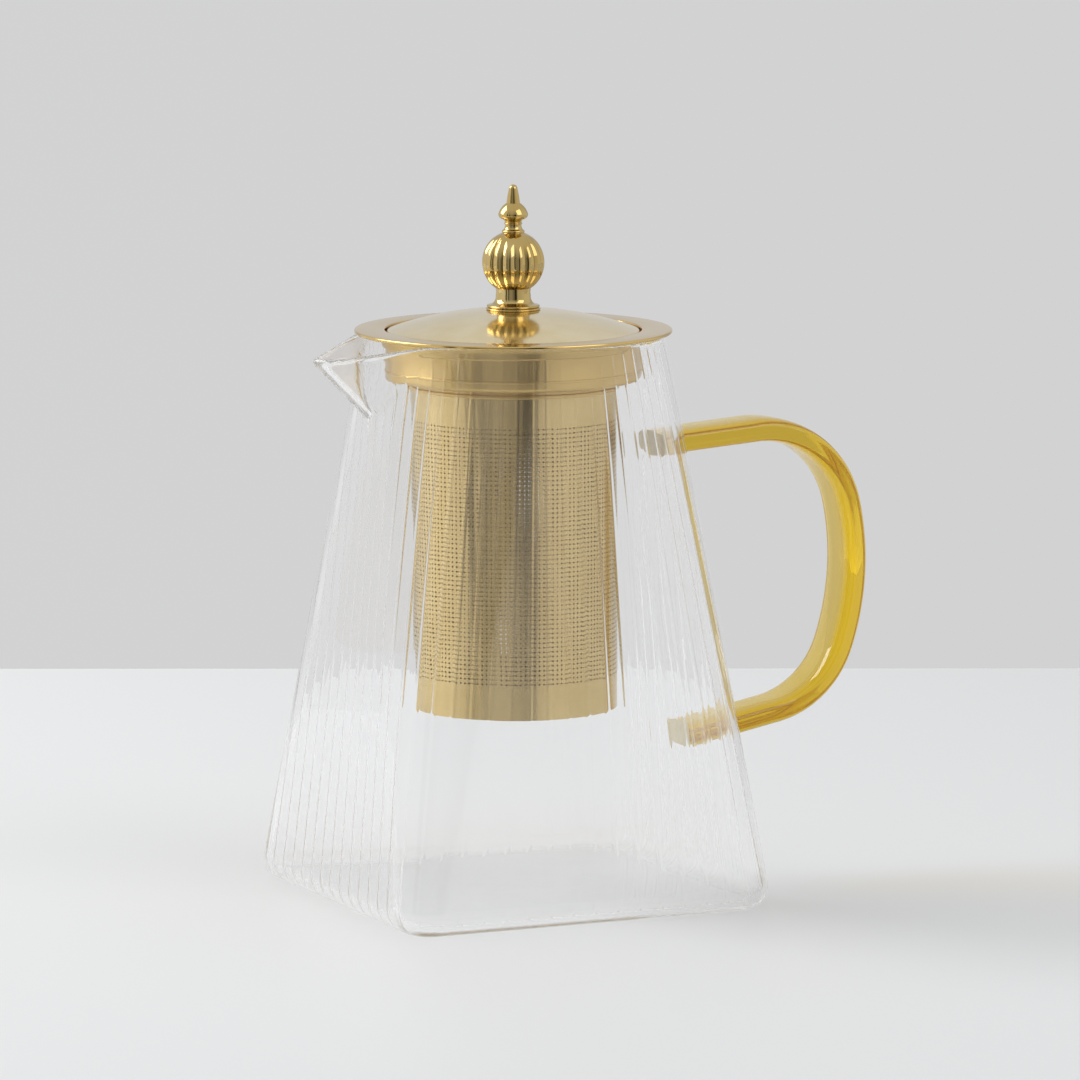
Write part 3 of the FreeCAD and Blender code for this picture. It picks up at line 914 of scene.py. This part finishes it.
dome_gold = polished_gold("gold_coated_steel_polished", "#E4D2A4", "#EBDCB6",
                          rough=0.12, ripple_width=16.0, ripple_depth=0.01)
finial_gold = polished_gold("gold_plated_zinc_casting_polished", "#BCA05F", "#C9B27A",
                            rough=0.05, ripple_width=3.0, ripple_depth=0.01)
print("materials:", dome_gold.name, finial_gold.name)

# %% [markdown]
# The lid
#
# The dome is a shallow cap of sheet with its edge turned down into a hem, and a flat in the middle for
# the finial. A plain ring welded below the hem keeps the lid from sliding off its step. Both are turned
# from profiles; the dome's curve is a true sphere, found from its width and its rise.

# %% Turn the dome and its skirt
lid_gap = 0.5
lid_recess = 0.4
hem_bend = 0.9
hem_outer = seat_inner - lid_gap
hem_inner = hem_outer - sheet
hem_low = node_box("lid_dome")[0][2]
dome_edge = flange_high_z - lid_recess
dome_rise = 5.8
seat_radius = 7.85
screw_hole = 2.2
sphere = (hem_outer ** 2 + dome_rise ** 2) / (2 * dome_rise)
sphere_middle = dome_edge + dome_rise - sphere


def cap(first, last, inset, steps=24):
    """Profile points on the dome's sphere from one radius to another, moved in by an inset."""
    radii = np.linspace(first, last, steps)
    return [(r, sphere_middle + math.sqrt((sphere - inset) ** 2 - r * r)) for r in radii]


seat_z = cap(seat_radius, seat_radius, 0.0, 1)[0][1]
under = seat_radius - 0.2
dome = turn_piece("polished_dome", eased(
    [(screw_hole, seat_z), (seat_radius, seat_z)] + cap(seat_radius + 0.3, hem_outer - hem_bend, 0.0)
    + [(hem_outer, dome_edge + 0.05, 0.8), (hem_outer, hem_low, 0.2), (hem_inner, hem_low, 0.2)]
    + [(hem_inner, dome_edge - hem_bend, 0.4)] + cap(hem_inner - hem_bend, under, sheet)
    + [(under, seat_z - sheet), (screw_hole, seat_z - sheet)]), dome_gold)
wear(dome, "lid", "gold_mirror", "lid_dome")

skirt_gap = 0.4
skirt_low = node_box("lid_skirt")[0][2]
skirt_high = node_box("lid_skirt")[1][2]
skirt_outer = collar_inner - skirt_gap
rest_z = ledge_top + seat_gap
skirt = turn_piece("lid_locating_skirt", eased([
    (skirt_outer - sheet, skirt_low, 0.25), (skirt_outer, skirt_low, 0.25), (skirt_outer, rest_z, 0.2),
    (hem_outer, rest_z, 0.25), (hem_outer, skirt_high, 0.25), (skirt_outer - sheet, skirt_high, 0.25)]),
    collar_gold)
wear(skirt, "lid", "gold_steel", "lid_skirt")

# %% [markdown]
# The finial
#
# The finial is a small polished casting: a foot disc, a cove, a fluted ball, a ring, a waist, a pear-shaped
# bulb and a spire. All but the flutes is one turned profile. The flutes are narrow grooves between round
# lobes that run over the ball from pole to pole, so a second tree draws every ball point in by its groove.

# %% Turn the finial and flute its ball
flute_count = 16
flute_depth = 0.55
ball_radius = 8.4
neck_radius = 4.7
ring_radius = 3.05
tip_z = node_box("finial_knob")[1][2]
bead_high = seat_z + 0.65
cove_low = seat_z + 1.4
cove_high = cove_low + 1.9
ball_low = cove_high + 2.45
ball_middle = ball_low + math.sqrt(ball_radius ** 2 - neck_radius ** 2)
ball_high = ball_middle + math.sqrt(ball_radius ** 2 - ring_radius ** 2)
ring_high = ball_high + 1.3
waist_high = ring_high + 1.2
flare_high = waist_high + 1.1
bulb_wide = flare_high + 1.4
bulb_high = bulb_wide + 3.0
tip_round = 1.15


def ball_profile(steps=30):
    """Profile points up the ball."""
    first = math.asin((ball_low - ball_middle) / ball_radius)
    last = math.asin((ball_high - ball_middle) / ball_radius)
    return [(ball_radius * math.cos(a), ball_middle + ball_radius * math.sin(a))
            for a in np.linspace(first, last, steps)]


# A point's place among the flutes as an angle, the round lobes that its sine gives, how far a point lies
# below the top of its lobe, and the depth of a groove.
flute_steps = [("MULTIPLY", "flute_count"), ("MULTIPLY", math.pi), ("SINE", 0.0), ("ABSOLUTE", 0.0),
               ("SUBTRACT", 1.0), ("MULTIPLY", "flute_depth")]
profile = [(0, seat_z), (7.04, seat_z)]
profile += bowed((7.04, seat_z), (7.0, bead_high), 0.31)
profile += [(6.85, bead_high + 0.05)] + bowed((6.85, bead_high + 0.05), (6.8, cove_low), 0.3)
profile += bowed((6.8, cove_low), (neck_radius, cove_high), -0.58)
profile += [(neck_radius, cove_high + 0.6), (neck_radius - 0.12, ball_low - 1.0)]
profile += [(neck_radius, ball_low - 0.25)] + ball_profile()
profile += bowed((2.85, ball_high), (2.75, ring_high - 0.45), 0.25)
profile += bowed((2.6, ring_high - 0.4), (2.2, waist_high - 0.3), -0.12)
profile += bowed((2.3, waist_high - 0.25), (2.3, waist_high + 0.25), 0.14)
profile += [(2.2, waist_high + 0.3)] + bowed((2.2, waist_high + 0.3), (2.75, flare_high), -0.1)
profile += bowed((2.75, flare_high), (4.0, bulb_wide), 0.35)
profile += bowed((4.0, bulb_wide), (1.8, bulb_high), 0.36, 14)
profile += [(1.55, (bulb_high + tip_z - tip_round) / 2), (tip_round, tip_z - tip_round)]
tip_angles = np.linspace(0.3, 1.3, 4)
profile += [(tip_round * math.cos(a), tip_z - tip_round * (1 - math.sin(a))) for a in tip_angles]
profile += [(0, tip_z)]
points_round = 12 * flute_count
finial_rings = [circle(r, z, points_round) for r, z in profile]
turns_round = np.arange(points_round) / points_round
finial = make_piece("turned_finial", *skin(finial_rings), finial_gold)
pole_fade = 8
grooves = []
for ring in finial_rings:
    across = np.hypot(ring[:, 0], ring[:, 1])[:, None]
    up_ball = np.clip(1 - ((ring[0, 2] - ball_middle) / (ball_middle - ball_low)) ** pole_fade, 0, 1)
    grooves.append(ring * np.array([1, 1, 0]) / np.maximum(across, 1e-6) * up_ball * across / ball_radius)
store(finial, finial_rings, turns_round, grooves)
run_tree(finial, relief_tree("flutes_round_the_ball", flute_steps, finial_gold), sharp_angle=32.0,
         flute_count=float(flute_count), flute_depth=flute_depth * MM)
wear(finial, "lid", "gold_casting", "finial_knob")

# %% [markdown]
# Screw and washer
#
# A cross-recessed screw and a washer under the lid hold the finial. Their solids already have the right
# shape, so they stay and only get a finish: bare stainless steel, turned, with a faint grain.

# %% Bare steel for the fastener


def bare_steel():
    """Stainless steel, turned: grey, with fine rings left by the tool."""
    ring_width = 0.3
    ring_depth = 0.01
    wave_rate = 20  # the wave texture multiplies its coordinates by this
    material, tree, output = blank_material("stainless_steel_turned")
    place = add(tree, "ShaderNodeTexCoord").outputs["Object"]
    rings_cut = add(tree, "ShaderNodeTexWave", {
        "Vector": place, "Scale": 1 / (wave_rate * ring_width * MM), "Distortion": 1.0, "Detail": 1.0},
        wave_type="RINGS", rings_direction="Z")
    roughness = add(tree, "ShaderNodeMapRange", {"Value": rings_cut, "To Min": 0.25, "To Max": 0.4})
    bump = add(tree, "ShaderNodeBump", {
        "Height": rings_cut, "Distance": ring_depth * MM, "Strength": 0.5})
    metal = add(tree, "ShaderNodeBsdfPrincipled", {
        "Base Color": linear("#B9B7B2"), "Metallic": 1.0, "Roughness": roughness, "Normal": bump})
    tree.links.new(metal.outputs[0], output.inputs["Surface"])
    return material


steel = bare_steel()
for node in ("knob_screw", "knob_washer"):
    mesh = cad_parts[node].data
    mesh.materials.clear()
    mesh.materials.append(steel)
print("material:", steel.name)

# %% [markdown]
# Table, room and lamps
#
# The pot stands on a plain white table in a pale room. One large soft lamp at the left, a little behind,
# throws the pale shadow to the right. Metal and glass show their surroundings, so the world is a simple
# room that only the camera, metal and glass see: metal gets a ramp of dark and bright bands round the
# horizon, and glass a paler, plainer one. All other light from the world is even and plain.

# %% White table
view_azimuth = math.radians(-24.2019)
back = np.array([-math.sin(view_azimuth), math.cos(view_azimuth), 0])
right = np.array([math.cos(view_azimuth), math.sin(view_azimuth), 0])


def white_lacquer():
    """Lacquered board: matt white with a slight orange-peel."""
    peel_width = 1.5
    peel_depth = 0.004
    material, tree, output = blank_material("white_lacquer_sprayed")
    paint = add(tree, "ShaderNodeBsdfPrincipled", {
        "Base Color": linear("#E8E9EA"), "Roughness": 0.5, "Specular IOR Level": 0.25,
        "Normal": rippled(tree, peel_width, peel_depth)})
    tree.links.new(paint.outputs[0], output.inputs["Surface"])
    return material


def table(near=-330.0, far=385.0, half_width=1600.0, thickness=30.0, edge=2.0, air=0.03):
    """Slab turned to the view, with a rounded edge all round and a breath of air under the glass."""
    rings_down = []
    eased_edge = 0.3 * edge
    for inset, height in ((edge, -air), (eased_edge, -eased_edge), (0.0, -edge), (0.0, -thickness)):
        corners = [(-half_width + inset, near + inset), (half_width - inset, near + inset),
                   (half_width - inset, far - inset), (-half_width + inset, far - inset)]
        rings_down.append(np.array([right * x + back * y + [0, 0, height] for x, y in corners]))
    rings_down = [rings_down[0].mean(0, keepdims=True)] + rings_down
    rings_down.append(rings_down[-1].mean(0, keepdims=True))
    slab = make_piece("white_table", *skin(rings_down), white_lacquer(), 30.0)
    print("table:", slab.name)


table()

# %% The room seen in metal and glass
# A stop is (degrees, level): 0 is straight behind the pot in the photograph's view, and right is positive.
mirrored_room = [
    (-180, 0.26), (-172, 0.38), (-163, 0.42), (-156, 0.36), (-151, 0.18), (-144, 0.16), (-142, 0.7),
    (-138.5, 0.75), (-136.5, 0.04), (-129.5, 0.04), (-127, 0.8), (-118, 0.9), (-105, 0.95), (-66, 0.9),
    (-38, 0.9), (-31, 0.6), (-12, 0.65), (12, 0.65), (24, 0.5), (40, 0.6), (60, 0.85), (100, 0.85),
    (135, 0.7), (148, 0.65), (155, 0.4), (158, 0.03), (168, 0.02), (171, 0.16), (180, 0.26)]
refracted_room = [
    (-180, 0.7), (-90, 0.95), (-45, 0.8), (-14, 0.65), (14, 0.64), (40, 0.7), (90, 0.85), (180, 0.7)]
even_level = 0.60
blue_share = 1.005
ceiling_starts = 0.25
ceiling_full = 0.85


def room():
    """World: an even level for plain light, a banded room for mirrors and a pale one behind the glass."""
    world = bpy.data.worlds.new("pale_room")
    bpy.context.scene.world = world
    world.use_nodes = True
    tree = world.node_tree
    tree.nodes.clear()
    look = add(tree, "ShaderNodeTexCoord").outputs["Generated"]
    turned = add(tree, "ShaderNodeVectorRotate", {"Vector": look, "Angle": -view_azimuth},
                 rotation_type="Z_AXIS")
    parts = add(tree, "ShaderNodeSeparateXYZ", {"Vector": turned}).outputs
    angle = add(tree, "ShaderNodeMath", {0: parts["X"], 1: parts["Y"]}, operation="ARCTAN2")
    round_room = add(tree, "ShaderNodeMapRange", {
        "Value": angle, "From Min": -math.pi, "From Max": math.pi})
    walls = []
    for levels in (refracted_room, mirrored_room):
        bands = add(tree, "ShaderNodeValToRGB", {"Fac": round_room})
        stops = bands.color_ramp.elements
        while len(stops) < len(levels):
            stops.new(0.5)
        for stop, (degrees, level) in zip(stops, levels):
            stop.position = (degrees + 180) / 360
            stop.color = (level, level, level * blue_share, 1)
        walls.append(add(tree, "ShaderNodeBackground", {"Color": bands, "Strength": 1.0}))
    # Metal is seen bare, or through a glass wall on the way in and out, which is four faces or more. A
    # reflected ray that crossed one to three faces, within 1.4 of 2, was reflected by the glass itself.
    ray = add(tree, "ShaderNodeLightPath").outputs
    bounced = add(tree, "ShaderNodeMath", {0: ray["Glossy Depth"], 1: 0.5}, operation="GREATER_THAN")
    in_glass = add(tree, "ShaderNodeMath", {0: ray["Transmission Depth"], 1: 2.0, 2: 1.4},
                   operation="COMPARE")
    mirrored = add(tree, "ShaderNodeMath", {0: bounced, 1: in_glass}, operation="SUBTRACT")
    wall_seen = add(tree, "ShaderNodeMixShader", {0: mirrored, 1: walls[0], 2: walls[1]})
    high = add(tree, "ShaderNodeMapRange", {
        "Value": parts["Z"], "From Min": ceiling_starts, "From Max": ceiling_full})
    ceiling = add(tree, "ShaderNodeBackground", {"Color": linear("#E6E6E6"), "Strength": 1.0})
    shown = add(tree, "ShaderNodeMixShader", {0: high, 1: wall_seen, 2: ceiling})
    even = add(tree, "ShaderNodeBackground", {
        "Color": (even_level, even_level, even_level, 1), "Strength": 1.0})
    eye = add(tree, "ShaderNodeMath", {0: ray["Is Camera Ray"], 1: ray["Is Glossy Ray"]},
              operation="MAXIMUM")
    eye = add(tree, "ShaderNodeMath", {0: eye, 1: ray["Is Transmission Ray"]}, operation="MAXIMUM")
    both = add(tree, "ShaderNodeMixShader", {0: eye, 1: even, 2: shown})
    add(tree, "ShaderNodeOutputWorld", {"Surface": both})


room()
print("room with", len(mirrored_room), "bands")

# %% [markdown]
# Long paths in glass
#
# A ray that runs up inside a glass wall is thrown back many times before it comes out. If it is given up
# too soon, rims and feet go black, so more bounces are allowed than an ordinary scene needs.

# %% Let light find its way out of the glass
paths = bpy.context.scene.cycles
paths.max_bounces = 128
paths.glossy_bounces = 100
paths.transmission_bounces = 64
print("bounces:", paths.max_bounces)

# %% Lamps
aim_height = 0.09


def lamp(name, place, width, height, power):
    """Soft rectangular lamp at (right, back, up) metres, aimed at the middle of the pot."""
    data = bpy.data.lights.new(name, "AREA")
    data.shape = "RECTANGLE"
    data.size = width
    data.size_y = height
    data.energy = power
    holder = bpy.data.objects.new(name, data)
    bpy.context.scene.collection.objects.link(holder)
    stand = right * place[0] + back * place[1] + np.array([0, 0, place[2]])
    aim = np.array([0, 0, aim_height]) - stand
    flat = math.hypot(aim[0], aim[1])
    holder.location = stand
    holder.rotation_euler = (math.pi / 2 + math.atan2(aim[2], flat), 0, math.atan2(-aim[0], aim[1]))
    holder.visible_transmission = False  # the lamp's own shape isn't seen through the glass
    print("lamp:", name, power, "W")


lamp("key_softbox", place=(-1.15, 0.30, 0.95), width=0.9, height=0.9, power=12.5)
lamp("front_fill", place=(1.3, -0.9, 1.3), width=1.2, height=1.2, power=7.0)

# %% [markdown]
# The camera
#
# The photograph was taken from two metres away with a long lens, from the left of the handle's side and a
# little above the lid. Distance, height and lens were found by fitting the outlines of foot, flange and
# silhouettes, so the render's outlines fall where the photograph's do.

# %% Camera at the photograph's place
camera_distance = 2.07451
camera_height = 0.39290
camera_yaw = math.radians(0.19687)
camera_pitch = math.radians(8.14311)
camera_lens = 260.768
data = bpy.data.cameras.new("photo_camera")
data.lens = camera_lens
data.sensor_width = 36.0
camera = bpy.data.objects.new("photo_camera", data)
bpy.context.scene.collection.objects.link(camera)
camera.location = -back * camera_distance + np.array([0, 0, camera_height])
camera.rotation_euler = (math.pi / 2 - camera_pitch, 0, view_azimuth - camera_yaw)
bpy.context.scene.camera = camera
bpy.context.scene.view_settings.view_transform = "Standard"
print("camera at", [round(c, 4) for c in camera.location])
